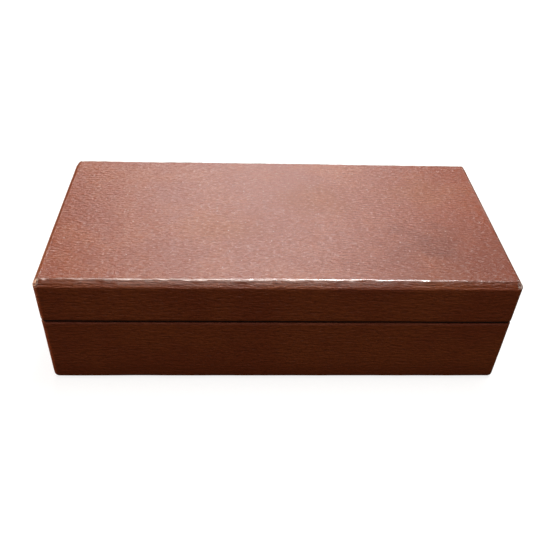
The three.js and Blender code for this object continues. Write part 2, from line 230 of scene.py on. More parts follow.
def grain_layers(field):
    grain = field.node("ShaderNodeUVMap", {"uv_map": "grain"})
    drift = noise(stretch(grain, WAVE_SCALE), 1, 3) - 0.5
    shift = {0: GRAIN_SHIFT_X, 1: drift * WAVE_HEIGHT + GRAIN_SHIFT_Y}
    shift = field.node("ShaderNodeCombineXYZ", None, shift)
    wavy = field.node("ShaderNodeVectorMath", {"operation": "ADD"}, {0: grain, 1: shift})
    folds = noise(stretch(wavy, FOLD_SCALE), 1, 2, 0.5)
    creases = noise(stretch(wavy, CREASE_SCALE), 1, 3, 0.6)
    fine = noise(stretch(wavy, FINE_CREASE_SCALE), 1, 2, 0.6)
    pores = noise(stretch(wavy, PORE_SCALE), 1, 2, 0.6)
    return folds, creases, fine, pores


# %% [markdown]
# A mask is a field that is 1 where something is so and 0 elsewhere. These come from places: how
# far a point is past a line near an edge, or how near it is to the middle of a rubbed spot. Noise
# that is added before the step makes the border ragged, as wear is.


# %% Masks for edges and corners
WORN_INSET = 0.9 * MM
WORN_REACH = 4.8 * MM


def past_edge(place, axis, inset):
    """How far a point is past a line set in from the side of the case."""
    part = place.node("ShaderNodeSeparateXYZ", None, {0: place}, axis)
    return (part if axis == 2 else abs(part)) - (cad_high[axis] - inset)


def corner_wear(place):
    """Is 1 at the lid's top corners and along its top edges where the leather has rubbed."""
    past_x, past_y, past_z = (past_edge(place, axis, WORN_INSET) for axis in range(3))
    gap = past_x * past_x + past_y * past_y + past_z * past_z
    near = 1 - step(gap, 0.0, WORN_REACH ** 2)
    corner = step(near + noise(place, 620, 5, 0.8) * 1.4, 1.42, 1.64)
    over = past_x.math("MAXIMUM", past_x, past_y) + past_z
    on_edge = step(over, -LID_CHAMFER + 0.9 * MM, -LID_CHAMFER + 1.6 * MM)
    at_end = step(past_x - past_y, -1.0 * MM, 1.0 * MM)
    chips = step(noise(place, 420, 5, 0.75) + at_end * 0.05, 0.63, 0.70) * on_edge
    return corner.math("MAXIMUM", corner, chips * 0.7), on_edge


def inner_side(place, width):
    """Is 0 at the outside of the case and 1 further in than a width."""
    past = place.math("MAXIMUM", past_edge(place, 0, 0.0), past_edge(place, 1, 0.0))
    return 1 - step(past, -width - 0.8 * MM, -width)


# %% Masks for handling, and for painted shade
RUBBED_SPOTS = ((18, 14), (24, 15)), ((-26, -11), (22, 12)), ((73, 20), (26, 15))
CLOUDED_SPOT = (68, -19), (24, 16)
# Painted shade: the lid is darker towards its front right, where the light falls off.
FALLOFF_SHADE_SPOT = (104, -42), (70, 44)


def soft_spot(place, centre, size, ragged):
    """Is 1 within a spot on the lid, fading out raggedly. Its centre and size are in mm."""
    middle = [*(part * MM for part in centre), 0]
    away = place.node("ShaderNodeVectorMath", {"operation": "SUBTRACT"}, {0: place, 1: middle})
    away = stretch(away, (1 / size[0] / MM, 1 / size[1] / MM, 0.0))
    reach = away.node("ShaderNodeVectorMath", {"operation": "LENGTH"}, {0: away}, 1)
    return 1 - step(reach + ragged, 0.25, 1.25)


def handling_and_shade_marks(place):
    """Where the lid is rubbed paler, where it is clouded, and where painted shade darkens its front
    right.
    """
    ragged = (noise(place, 55, 5, 0.65) - 0.5) * 2.6
    rubbed = soft_spot(place, *RUBBED_SPOTS[0], ragged)
    for spot in RUBBED_SPOTS[1:]:
        rubbed = rubbed.math("MAXIMUM", rubbed, soft_spot(place, *spot, ragged))
    clouded = soft_spot(place, *CLOUDED_SPOT, ragged)
    falloff_shade = soft_spot(place, *FALLOFF_SHADE_SPOT, ragged * 0.6)
    return rubbed, clouded, falloff_shade


# %% [markdown]
# The colour goes on in the order a finisher and then time would lay it, and painted light goes on
# with it: the hide's two browns, the rubbed and clouded places, painted shade towards the lid's
# front right, the dark in creases and pores, partly the grain's own tone and partly painted shade,
# and last painted highlights as pale glints and specks on the top, scuffs at the corners, and a
# darker foot. The joint is painted near-black and the strip below it darker, as painted shadow in
# the gap and painted shade under the lid. A clear coat on the lid's edge stands for the polish that
# hands give it.

# %% Age the hide, and paint its shade and highlights
SPECK_SCALE = 230.0


def add_painted_specks_and_wear(hide, place, pores, wear, on_top):
    # Painted highlights: pale glints on the top, where the grain's rises catch the light.
    painted_glints = step(pores, 0.56, 0.68) * on_top
    hide = blend(painted_glints * 0.22, hide, SCUFF_AND_GLINT_COLOR)
    # Painted highlights: pale specks of glitter scattered over the top.
    cells = place.node("ShaderNodeTexVoronoi", None, {"Vector": place, "Scale": SPECK_SCALE}, 0)
    painted_specks = (1 - step(cells, 0.04, 0.10)) * step(noise(place, 60, 3), 0.47, 0.57) * on_top
    hide = blend(painted_specks * 0.7, hide, SCUFF_AND_GLINT_COLOR)
    frayed = step(noise(place, 1300, 3, 0.7), 0.40, 0.60)
    return blend(wear * (0.12 + frayed * 0.75), hide, SCUFF_AND_GLINT_COLOR)


def shade_joint_and_darken_foot(hide, up, joint_shadow, under_joint_shade):
    # Painted shade on the base's rim bevel under the lid, then painted shadow in the joint's gap.
    hide = blend(under_joint_shade * 0.5, hide, HIDE_DARK)
    hide = blend(joint_shadow, hide, GAP_SHADOW_COLOR)
    foot = 1 - step(up, 0.0, 16 * MM)
    return blend(foot * 0.8, hide, HIDE_DARK)


# %% Make the leather
def make_leather():
    material, field = start_finish("leather")
    place = field.node("ShaderNodeTexCoord", None, None, "Object")
    folds, creases, fine, pores = grain_layers(field)
    wear, on_edge = corner_wear(place)
    up = place.node("ShaderNodeSeparateXYZ", None, {0: place}, 2)
    on_top = step(up, cad_high.z - 1.2 * MM, cad_high.z - 0.4 * MM)
    on_wall = 1 - on_top.math("MAXIMUM", on_top, on_edge)
    brow = on_edge * step(up, cad_high.z - 1.1 * MM, cad_high.z - 0.5 * MM)
    # The joint's gap gets a painted shadow, and the rim bevel just below it painted shade from the
    # lid.
    at_rim = 1 - step(abs(up - RIM_Z), 0.55 * MM, 1.0 * MM)
    joint_shadow = at_rim * (1 - inner_side(place, 1.8 * MM))
    under_joint_shade = 1 - step(abs(up - RIM_Z + 0.9 * MM), 0.5 * MM, 1.3 * MM)
    rubbed, clouded, falloff_shade = (mark * on_top for mark in handling_and_shade_marks(place))

    dips = (0.5 - creases) * 1.3 + (0.5 - fine) * 0.9 + (0.5 - folds) * (on_wall * 0.5)
    dips = dips * (1 - at_rim * 0.75)
    clouds = step(noise(place, 24, 5, 0.62), 0.40, 0.62)
    hide = blend(clouds, HIDE_COLOR, HIDE_WARM)
    hide = blend(rubbed * 0.35, hide, HIDE_RUBBED)
    # Clouded places are darker, and the front right is darker again as painted shade.
    hide = blend(clouded * 0.4 + falloff_shade * 0.6, hide, HIDE_DARK)
    # Darker in creases and pores: partly the grain's own tone, partly painted shade in the creases,
    # stronger on the walls.
    hide = blend(0.22 + dips * (1 + on_wall * 0.25) + (0.5 - pores) * 1.9, hide, HIDE_DARK)
    hide = add_painted_specks_and_wear(hide, place, pores, wear, on_top)
    hide = shade_joint_and_darken_foot(hide, up, joint_shadow, under_joint_shade)

    polish = 0.22 + step(noise(place, 1400, 3), 0.35, 0.65) * 0.4
    dull = rubbed * 0.10 + falloff_shade * 0.08 + (joint_shadow + under_joint_shade) * 0.4
    relief = folds * (0.25 + on_wall * 0.4 + on_edge * 0.8) + creases * 0.85 + fine * 0.35
    close_finish(
        field, relief - wear * 0.25 + pores * 0.10, 1.0, 0.56 * MM,
        Base_Color=hide, Roughness=0.38 + dips * 0.35 + dull, IOR=1.5, Specular_IOR_Level=0.5,
        Coat_Weight=on_edge * polish + brow * 0.55, Coat_Roughness=0.2, Coat_IOR=2.0,
    )
    return material


leather = make_leather()
print("leather nodes:", len(leather.node_tree.nodes))

# %% [markdown]
# ## Working as by hand
#
# Every new piece starts as a primitive at its own size and place, and is then worked in edit mode
# with the same operators as a person at the screen would use. Those act on whatever is selected,
# so `only` clears the selection first. `settle` moves a piece's place and turn into its mesh,
# because patterns that read the object's own coordinates would otherwise slide or turn.


# %% Start a piece
def only(piece):
    bpy.ops.object.select_all(action="DESELECT")
    piece.select_set(True)
    bpy.context.view_layer.objects.active = piece


def settle(piece, name):
    piece.name = name
    only(piece)
    bpy.ops.object.transform_apply(location=True, rotation=True, scale=True)
    return piece


def block(name, low, high, turn=(0, 0, 0)):
    bpy.ops.object.select_all(action="DESELECT")
    low, high = Vector(low), Vector(high)
    bpy.ops.mesh.primitive_cube_add(
        size=1, location=(low + high) / 2, scale=high - low, rotation=turn
    )
    return settle(bpy.context.object, name)


def rod(name, radius, length, place, turn=(0, math.pi / 2, 0), sides=48):
    bpy.ops.object.select_all(action="DESELECT")
    bpy.ops.mesh.primitive_cylinder_add(
        vertices=sides, radius=radius, depth=length, location=place, rotation=turn
    )
    return settle(bpy.context.object, name)


# %% [markdown]
# In edit mode, `pick` selects the parts of a mesh that pass a rule about where they are. The two
# rules below find the upright edges of a block, and the edges that run round it at one height.


# %% Select by place
SAME_PLACE = 0.02 * MM


def edit(piece):
    only(piece)
    bpy.ops.object.mode_set(mode="EDIT")


def leave():
    bpy.ops.object.mode_set(mode="OBJECT")


def pick(piece, kind, rule):
    """Selects the vertices, edges or faces that pass a rule, and says how many there are."""
    mesh = bmesh.from_edit_mesh(piece.data)
    bpy.ops.mesh.select_mode(type=kind)
    bpy.ops.mesh.select_all(action="DESELECT")
    parts = {"VERT": mesh.verts, "EDGE": mesh.edges, "FACE": mesh.faces}[kind]
    chosen = [part for part in parts if rule(part)]
    for part in chosen:
        part.select_set(True)
    mesh.select_flush_mode()
    bmesh.update_edit_mesh(piece.data)
    return len(chosen)


def upright(edge):
    return abs(edge.verts[0].co.z - edge.verts[1].co.z) > MM


def round_at(height):
    return lambda edge: all(abs(end.co.z - height) < SAME_PLACE for end in edge.verts)


# %% [markdown]
# A bevel rounds what is selected. A flat face has no vertices inside it to bend, so a piece that
# is to be rippled is first sliced by rows of planes.


# %% Bevel and slice
def bevel(width, segments=1):
    bpy.ops.mesh.bevel(
        offset=width, segments=segments, affect="EDGES", offset_type="OFFSET", clamp_overlap=False
    )


def slice_across(axis, places):
    """Cuts the whole mesh along planes, so that it has enough vertices to take a shape."""
    for place in places:
        point, normal = [0, 0, 0], [0, 0, 0]
        point[axis], normal[axis] = place, 1
        bpy.ops.mesh.select_all(action="SELECT")
        bpy.ops.mesh.bisect(plane_co=point, plane_no=normal)


def steps(low, high, spacing):
    """The places between two ends, evenly spaced at about a distance."""
    count = max(1, round((high - low) / spacing))
    return [low + (high - low) * i / count for i in range(1, count)]


# %% [markdown]
# Modifiers do what is tedious by hand. Each is applied at once, so the next step always works on
# real vertices. `ripple` is the one that makes a surface look hand-laid: it moves the surface in
# and out by cloudy noise, as far as the weights of a vertex group allow.


# %% Finish with modifiers
def apply(piece, kind, **settings):
    only(piece)
    modifier = piece.modifiers.new(kind.lower(), kind)
    for name, value in settings.items():
        setattr(modifier, name, value)
    bpy.ops.object.modifier_apply(modifier=modifier.name)


def cut(piece, *cutters):
    for cutter in cutters:
        apply(piece, "BOOLEAN", operation="DIFFERENCE", object=cutter, solver="EXACT")
        bpy.data.objects.remove(cutter)


def smooth(piece, degrees=32):
    only(piece)
    bpy.ops.object.shade_smooth_by_angle(angle=math.radians(degrees))


# %% Ripple a surface
def grade(piece, name, rule):
    """A vertex group whose weights come from each vertex's place."""
    group = piece.vertex_groups.new(name=name)
    for vertex in piece.data.vertices:
        weight = rule(vertex.co)
        if weight > 0:
            group.add([vertex.index], min(weight, 1.0), "REPLACE")
    return name


def ripple(piece, size, height, stretched=(1, 1, 1), group="", depth=1):
    """Moves the surface in and out by cloudy noise, which can be drawn out along one axis."""
    guide = bpy.data.objects.new("guide", None)
    guide.scale = stretched
    bpy.context.scene.collection.objects.link(guide)
    bpy.context.view_layer.update()
    clouds = bpy.data.textures.new("clouds", "CLOUDS")
    clouds.noise_scale, clouds.noise_depth = size, depth
    apply(
        piece, "DISPLACE", texture=clouds, strength=height, mid_level=0.5,
        texture_coords="OBJECT", texture_coords_object=guide, vertex_group=group,
    )
    bpy.data.objects.remove(guide)


# %% [markdown]
# The grain map is the leather laid flat. The lid's hide is one sheet that covers the top and is
# turned down on all four sides, so its creases run on over the front and back, and down the two
# ends. The base's hide is a band that goes round the walls, so there they stay level all round.


# %% Lay the grain
def lay_grain(piece, wrapped_from_top):
    mesh = piece.data
    layer = mesh.uv_layers.new(name="grain")
    top = cad_high.z
    for polygon in mesh.polygons:
        x, y, z = (abs(part) for part in polygon.normal)
        at_end = x > max(y, z) - 0.05
        sign_x = math.copysign(1, polygon.center.x)
        sign_y = math.copysign(1, polygon.center.y)
        for loop in polygon.loop_indices:
            co = mesh.vertices[mesh.loops[loop].vertex_index].co
            if wrapped_from_top and at_end:
                layer.data[loop].uv = (co.x + sign_x * (top - co.z), co.y)
            elif wrapped_from_top:
                layer.data[loop].uv = (co.x, co.y + sign_y * (top - co.z))
            elif z > max(x, y):
                layer.data[loop].uv = (co.x, co.y)
            else:
                layer.data[loop].uv = (co.y if at_end else co.x, co.z)


# %% [markdown]
# A finished piece is handed over to the frame: it gets its material, rides on the body that it
# moves with, and takes the place of the plain solid that it was worked from.


# %% Hand a piece over
def hand_over(piece, material, body, slot, *nodes):
    """Gives a piece its finish, its body and the solids it replaces. slot is not used."""
    piece.data.materials.clear()
    piece.data.materials.append(material)
    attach(piece, body)
    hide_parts(*nodes)
    print(piece.name, "has", len(piece.data.polygons), "faces")
    return piece


# %% [markdown]
# ## The lid's leather
#
# The hide is skived thin and pasted over a wooden lid whose top edges are planed to a narrow
# bevel. The piece is worked from a block: round the four upright corners, take the bevel off the
# top, and soften the two lines where it breaks. What the wood fills is then cut out of it, with
# the room for the hinges, and last come the small rises and folds of a hide laid by hand.

# %% Where the wood, the pin and the slope are
HIDE = 1.2 * MM
GLUE = 0.2 * MM
CORNER_RADIUS = 3.0 * MM
STOP_SLOPE = math.radians(51)
TROUGH_CLEARANCE = 0.3 * MM
pin_low, pin_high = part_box("hinge_left_pin")
AXIS = Vector((0, (pin_low.y + pin_high.y) / 2, (pin_low.z + pin_high.z) / 2))
print("pin's axis, mm:", [round(value / MM, 2) for value in AXIS])


# %% [markdown]
# At the back the two rims slope away from each other, from the pin's axis outwards, so that the
# lid can swing. A slab that is turned about the axis cuts that slope. Each hinge needs a window
# for its leaves and a round trough for its knuckles.


# %% Cutters for the slope and the hinges
def grow(low, high, by):
    return low - Vector((by,) * 3), high + Vector((by,) * 3)


def slope_cutter(side, inset):
    """A slab whose face is the sloping plane through the pin. side is -1 for the base."""
    half = 10 * MM
    centre = Vector((0, 0, side * (inset - half)))
    centre.rotate(Matrix.Rotation(side * STOP_SLOPE, 3, "X"))
    centre += AXIS
    reach = Vector((0.15, 0.03, half))
    return block("slope", centre - reach, centre + reach, (side * STOP_SLOPE, 0, 0))


def hinge_cutters(inner_y):
    made = []
    for place in ("left", "right"):
        low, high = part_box(f"hinge_{place}_base_leaf")
        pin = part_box(f"hinge_{place}_pin")
        reach = AXIS.z - low.z + GLUE
        window_low = low.x - GLUE, inner_y - MM, AXIS.z - reach
        window_high = high.x + GLUE, AXIS.y, AXIS.z + reach
        made.append(block("window", window_low, window_high))
        middle = (pin[0] + pin[1]) / 2
        length = pin[1].x - pin[0].x + 2 * TROUGH_CLEARANCE
        made.append(rod("trough", reach + 0.1 * MM, length, middle))
    return made


# %% [markdown]
# The room inside is cut in two steps: a core for the wooden walls and board, which fit the
# leather closely, and a mouth for what the walls stand around. The core is sloped at the back
# too, set in by the leather's thickness, so that the hide is turned over the wood there.


# %% Hollow a half for its wood
def hollow(piece, half, core_low, core_high, mouth_low, mouth_high, chamfer=0):
    side = -1 if half == "base" else 1
    core = block("core", core_low, core_high)
    if chamfer:
        edit(core)
        pick(core, "EDGE", round_at(core_high.z))
        bevel(chamfer)
        leave()
    cut(core, slope_cutter(side, HIDE))
    mouth = block("mouth", mouth_low, mouth_high)
    cut(piece, slope_cutter(side, 0), core, mouth, *hinge_cutters(mouth_high.y))


# %% Work the lid's block
LID_FALL = 3.3 * MM
TOP_BREAK = 0.9 * MM
LOWER_BREAK = 0.3 * MM
LID_RIM_ROUND = 0.25 * MM
BOARD_CHAMFER = 1.7 * MM


def make_lid_leather():
    low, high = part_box("lid_leather_cover")
    piece = block("lid_leather", low, high)
    edit(piece)
    pick(piece, "EDGE", upright)
    bevel(CORNER_RADIUS, 8)
    pick(piece, "EDGE", round_at(high.z))
    bevel(LID_CHAMFER)
    pick(piece, "VERT", lambda point: abs(point.co.z - high.z + LID_CHAMFER) < SAME_PLACE)
    bpy.ops.transform.translate(value=(0, 0, LID_CHAMFER - LID_FALL))
    pick(piece, "EDGE", round_at(high.z))
    bevel(TOP_BREAK, 5)
    pick(piece, "EDGE", round_at(high.z - LID_FALL))
    bevel(LOWER_BREAK, 3)
    pick(piece, "EDGE", round_at(low.z))
    bevel(LID_RIM_ROUND, 2)
    leave()

    board_low, board_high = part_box("lid_top_board")
    wall_low, wall_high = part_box("lid_wall_front")
    back_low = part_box("lid_wall_back")[0]
    left_high, right_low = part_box("lid_wall_left")[1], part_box("lid_wall_right")[0]
    core = grow(Vector((board_low.x, board_low.y, wall_low.z)), board_high, GLUE)
    mouth_low = Vector((left_high.x, wall_high.y, low.z - MM))
    mouth_high = Vector((right_low.x, back_low.y, board_low.z))
    hollow(piece, "lid", *core, mouth_low, mouth_high, BOARD_CHAMFER)
    return piece


lid_leather = make_lid_leather()
print("lid leather starts with", len(lid_leather.data.polygons), "faces")

# %% [markdown]
# The lid now has clean planes, which no hand-laid hide has. It is sliced into a grid, finer along
# the bevel, and three ripples go over it: a slow one everywhere, long folds along the bevel,
# where the hide is pulled over the edge, and short lumps at the corners, where it is pleated.


# %% Where the hide may move
def edge_share(co):
    """Is 1 on the bevel and 0 a little way off it."""
    over = max(abs(co.x) - cad_high.x, abs(co.y) - cad_high.y) + co.z - cad_high.z
    return 1 - abs(min(over + LID_CHAMFER, 0)) / (1.0 * MM)


def front_share(co):
    return edge_share(co) if abs(co.y) - cad_high.y > abs(co.x) - cad_high.x else 0


def end_share(co):
    return edge_share(co) if abs(co.y) - cad_high.y <= abs(co.x) - cad_high.x else 0


def corner_share(co):
    tip = Vector((cad_high.x - MM, cad_high.y - MM, cad_high.z - MM))
    return 1 - (Vector((abs(co.x), abs(co.y), co.z)) - tip).length / (6 * MM)


def outer_share(co):
    """Is 1 on the outside and 0 on whatever faces the wood or the lining."""
    inset = min(cad_high.x - abs(co.x), cad_high.y - abs(co.y), cad_high.z - co.z)
    return 1 if inset < 0.9 * MM or co.z > cad_high.z - MM else 0


# %% Slice and ripple the lid
EDGE_BAND = 4.4 * MM
near_edge = steps(cad_high.y - EDGE_BAND, cad_high.y - 0.3 * MM, 0.7 * MM)
lid_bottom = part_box("lid_leather_cover")[0].z
bevel_foot = cad_high.z - LID_FALL

edit(lid_leather)
slice_across(0, steps(-cad_high.x, cad_high.x, 1.05 * MM))
slice_across(1, steps(-cad_high.y + EDGE_BAND, cad_high.y - EDGE_BAND, 4 * MM))
slice_across(1, near_edge + [-place for place in near_edge])
slice_across(2, steps(lid_bottom, bevel_foot, 1.6 * MM))
slice_across(2, steps(bevel_foot, cad_high.z - 0.1 * MM, 0.5 * MM))
leave()
ripple(lid_leather, 26 * MM, 0.22 * MM, group=grade(lid_leather, "outer", outer_share))
ripple(lid_leather, 1.15 * MM, 0.62 * MM, (3.5, 1, 1), grade(lid_leather, "front", front_share), 2)
ripple(lid_leather, 1.15 * MM, 0.5 * MM, (1, 3.5, 1), grade(lid_leather, "ends", end_share), 2)
ripple(lid_leather, 2.2 * MM, 0.9 * MM, group=grade(lid_leather, "corners", corner_share), depth=2)
smooth(lid_leather)
lay_grain(lid_leather, True)
hand_over(lid_leather, leather, "lid", "leather", "lid_leather_cover")

# %% [markdown]
# ## The base's leather
#
# The base is covered with a band of the same hide. Its rim has a narrow bevel of its own, which
# shows as a darker strip below the joint, where the leather's colour also carries painted shade, and
# its lower edges are softly rounded. The band is turned under the floor, so the cutters leave a
# narrow margin there.


# %% Work the base's band
RIM_CHAMFER = 1.0 * MM
RIM_BREAK = 0.2 * MM
FOOT_ROUND = 1.6 * MM
TURN_UNDER = 14 * MM


def make_base_leather():
    low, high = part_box("base_leather_band")
    piece = block("base_leather", low, high)
    edit(piece)
    pick(piece, "EDGE", upright)
    bevel(CORNER_RADIUS, 8)
    pick(piece, "EDGE", round_at(high.z))
    bevel(RIM_CHAMFER)
    for height in (high.z, high.z - RIM_CHAMFER):
        pick(piece, "EDGE", round_at(height))
        bevel(RIM_BREAK, 2)
    pick(piece, "EDGE", round_at(low.z))
    bevel(FOOT_ROUND, 5)
    leave()

    board_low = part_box("base_floor_board")[0]
    front_low, front_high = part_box("base_wall_front")
    back_low, back_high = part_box("base_wall_back")
    left_high, right_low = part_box("base_wall_left")[1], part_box("base_wall_right")[0]
    top = Vector((front_high.x, back_high.y, front_high.z))
    core = grow(Vector((front_low.x, front_low.y, board_low.z)), top, GLUE)
    mouth_low = Vector((left_high.x, front_high.y, board_low.z + MM))
    mouth_high = Vector((right_low.x, back_low.y, high.z + MM))
    margin = Vector((TURN_UNDER, TURN_UNDER, 0))
    underside_low = Vector((low.x, low.y, low.z - MM)) + margin
    underside_high = Vector((high.x, high.y, board_low.z + MM)) - margin
    cut(piece, block("underside", underside_low, underside_high))
    hollow(piece, "base", *core, mouth_low, mouth_high)
    return piece


base_leather = make_base_leather()
print("base leather starts with", len(base_leather.data.polygons), "faces")

# %% [markdown]
# The band has plainer walls than the lid has, so a coarser grid and two quiet ripples are enough.

# %% Slice and ripple the base
edit(base_leather)
slice_across(0, steps(-cad_high.x, cad_high.x, 3 * MM))
slice_across(1, steps(-cad_high.y, cad_high.y, 3 * MM))
slice_across(2, steps(*(corner.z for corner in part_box("base_leather_band")), 2 * MM))
leave()
ripple(base_leather, 24 * MM, 0.2 * MM, group=grade(base_leather, "outer", outer_share))
ripple(base_leather, 7 * MM, 0.1 * MM, (2, 1, 1), group=grade(base_leather, "near", outer_share))
smooth(base_leather)
lay_grain(base_leather, False)
hand_over(base_leather, leather, "base", "leather", "base_leather_band")

# %% [markdown]
# ## The finishes inside
#
# Suede has a short nap that lies in brushed, cloudy patches and glows at grazing angles, which is
# what sheen is for. The baize under the base is the same idea, darker and more fibrous, so one
# function makes both.


# %% Suede and baize
def make_nap(name, color, shade, nap_scale, strength):
    material, field = start_finish(name)
    place = field.node("ShaderNodeTexCoord", None, None, "Object")
    brushed = step(noise(stretch(place, (1.0, 1.6, 1.3)), 55, 5, 0.6, 0.8), 0.36, 0.64)
    fibres = noise(place, nap_scale, 3, 0.7)
    tone = blend(brushed * 0.55 + (fibres - 0.5) * 1.1, color, shade)
    close_finish(
        field, fibres + brushed * 0.4, strength, 0.18 * MM,
        Base_Color=tone, Roughness=0.86 + (fibres - 0.5) * 0.2, Specular_IOR_Level=0.2,
        Sheen_Weight=0.35, Sheen_Roughness=0.45, Sheen_Tint=(1.0, 0.86, 0.7, 1),
    )
    return material


SUEDE_COLOR, SUEDE_SHADE = (0.43, 0.26, 0.13, 1), (0.30, 0.165, 0.075, 1)
BAIZE_COLOR, BAIZE_SHADE = (0.050, 0.022, 0.012, 1), (0.026, 0.011, 0.006, 1)
SUEDE_NAP, BAIZE_NAP = 2400, 1500
suede = make_nap("suede", SUEDE_COLOR, SUEDE_SHADE, SUEDE_NAP, 0.8)
baize = make_nap("baize", BAIZE_COLOR, BAIZE_SHADE, BAIZE_NAP, 1.0)
print("napped cloths:", suede.name, baize.name)

# %% [markdown]
# Satin is smooth and shines along its threads. The lid's pad is quilted in diamonds, and the
# stitching pulls the satin into dark lines. The pad's mesh is sewn along the same lines later, so
# the pitch of its grid is worked out first: about 2 mm, and ten squares to a diamond.

# %% The quilting's pitch
PAD_CELLS = 10
PAD_SQUARE = 2 * MM
pad_low, pad_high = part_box("lid_pad")
pad_size = pad_high - pad_low
PAD_STEPS = (round(pad_size.x / PAD_SQUARE), round(pad_size.y / PAD_SQUARE))
PAD_PITCH = (pad_size.x / PAD_STEPS[0], pad_size.y / PAD_STEPS[1])
print("quilting lines cross every", [round(pitch * PAD_CELLS / MM, 1) for pitch in PAD_PITCH], "mm")

# %% Satin
SATIN_COLOR, SATIN_SHADE = (0.82, 0.66, 0.45, 1), (0.64, 0.48, 0.30, 1)
SEAM_COLOR = (0.30, 0.20, 0.11, 1)


def quilting_seams(place):
    """Is 1 along the two sets of slanting lines that the pad is sewn on."""
    counted = stretch(place, (1 / PAD_PITCH[0] / PAD_CELLS, 1 / PAD_PITCH[1] / PAD_CELLS, 0.0))
    across, along = (counted.node("ShaderNodeSeparateXYZ", None, {0: counted}, i) for i in (0, 1))
    seams = []
    for line in (across + along, across - along):
        away = abs(line.math("FRACT", line + 0.5) - 0.5)
        seams.append(1 - step(away, 0.012, 0.045))
    return place.math("MAXIMUM", *seams)


def make_satin():
    material, field = start_finish("satin")
    place = field.node("ShaderNodeTexCoord", None, None, "Object")
    seam = quilting_seams(place)
    threads = noise(stretch(place, (5200.0, 900.0, 900.0)), 1, 2, 0.5)
    creases = noise(stretch(place, (210.0, 320.0, 210.0)), 1, 4, 0.6, 0.6)
    tone = blend(threads * 0.5 + creases * 0.3, SATIN_COLOR, SATIN_SHADE)
    tone = blend(seam * 0.55, tone, SEAM_COLOR)
    close_finish(
        field, threads * 0.12 + creases * 0.5 - seam * 0.5, 0.6, 0.3 * MM,
        Base_Color=tone, Roughness=0.30 + threads * 0.16 + seam * 0.3, Anisotropic=0.5,
        Specular_IOR_Level=0.6, Sheen_Weight=0.25, Sheen_Roughness=0.3,
    )
    return material


satin = make_satin()
print("satin nodes:", len(satin.node_tree.nodes))

# %% [markdown]
# Wood is two noises drawn out along the board, one for the rings and one for the pores. The side
# walls run across the case, so they have a finish of their own with the grain turned.

# %% Wood
WOOD_COLOR, WOOD_RING = (0.52, 0.33, 0.16, 1), (0.40, 0.22, 0.09, 1)
WOOD_PORE = (0.24, 0.12, 0.045, 1)


def make_wood(name, along):
    material, field = start_finish(name)
    place = field.node("ShaderNodeTexCoord", None, None, "Object")
    drawn_out = [14.0 if axis == along else 260.0 for axis in range(3)]
    rings = noise(stretch(place, drawn_out), 1, 4, 0.55, 1.2)
    drawn_out = [90.0 if axis == along else 3000.0 for axis in range(3)]
    pores = noise(stretch(place, drawn_out), 1, 2, 0.6)
    tone = blend(step(rings, 0.36, 0.62), WOOD_COLOR, WOOD_RING)
    tone = blend(step(pores, 0.56, 0.70) * 0.6, tone, WOOD_PORE)
    close_finish(
        field, rings * 0.4 + pores, 0.5, 0.12 * MM,
        Base_Color=tone, Roughness=0.58 + pores * 0.2, Specular_IOR_Level=0.35,
    )
    return material


wood_along = make_wood("wood_along", 0)
wood_across = make_wood("wood_across", 1)
print("wood finishes:", wood_along.name, wood_across.name)

# %% [markdown]
# The hinges and their pins and screws are brass: bright where it is rubbed, browner and duller
# where it has tarnished, with fine marks from the rolling of the sheet.

# %% Brass
BRASS_COLOR, BRASS_TARNISH = (0.62, 0.41, 0.15, 1), (0.30, 0.17, 0.06, 1)


def make_brass():
    material, field = start_finish("brass")
    place = field.node("ShaderNodeTexCoord", None, None, "Object")
    tarnish = step(noise(place, 260, 3, 0.6), 0.42, 0.72)
    marks = noise(stretch(place, (700.0, 9000.0, 9000.0)), 1, 2, 0.6)
    tone = blend(tarnish * 0.6, BRASS_COLOR, BRASS_TARNISH)
    close_finish(
        field, marks, 0.1, 0.04 * MM,
        Base_Color=tone, Metallic=1.0, Roughness=0.20 + tarnish * 0.22 + marks * 0.10,
    )
    return material


brass = make_brass()
print("brass nodes:", len(brass.node_tree.nodes))

# %% [markdown]
# The boards and the hinges are right as they are, so they stay the frame's own solids. They only
# need their finish, which goes into the material slots that they already have.


# %% Dress the solids that stay
def dress(material, *names):
    for name in names:
        for material_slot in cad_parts[name].material_slots:
            material_slot.material = material


dress(wood_along, "base_floor_board", "base_wall_front", "base_wall_back")
dress(wood_along, "lid_top_board", "lid_wall_front", "lid_wall_back")
dress(wood_across, *(f"{half}_wall_{side}" for half in ("base", "lid") for side in ("left", "right")))
hardware = [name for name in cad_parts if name.startswith("hinge_")]
dress(brass, *hardware)
print(len(hardware), "solids are brass")

# %% [markdown]
# ## Linings and tray
#
# The linings are cards wrapped in suede, so every edge is soft and every face is a little puffed.
# Each is worked from a block of its solid's size: shrunk by a hair, its edges rounded, sliced
# into squares, and rippled. A thin card can't take the full rounding, so it gets less.

# %% Wrap a card
CARD_SHRINK = 0.08 * MM
CARD_SQUARE = 4 * MM
THIN_ROUNDING, LINING_ROUNDING, STOUT_ROUNDING = 0.35 * MM, 0.55 * MM, 0.8 * MM


def wrapped_card(node, body, rounding, material=suede, slot="suede", notch=None):
    low, high = grow(*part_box(node), -CARD_SHRINK)
    piece = block(node + "_cloth", low, high)
    if notch:
        cut(piece, notch)
    thin = min(high - low)
    apply(
        piece, "BEVEL", width=min(rounding, thin * 0.42), segments=3,
        limit_method="ANGLE", angle_limit=math.radians(40), use_clamp_overlap=True,
    )
    edit(piece)
    for axis in range(3):
        if high[axis] - low[axis] > 2 * CARD_SQUARE:
            slice_across(axis, steps(low[axis], high[axis], CARD_SQUARE))
    leave()
    ripple(piece, 9 * MM, 0.16 * MM, depth=2)
    smooth(piece, 40)
    return hand_over(piece, material, body, slot, node)


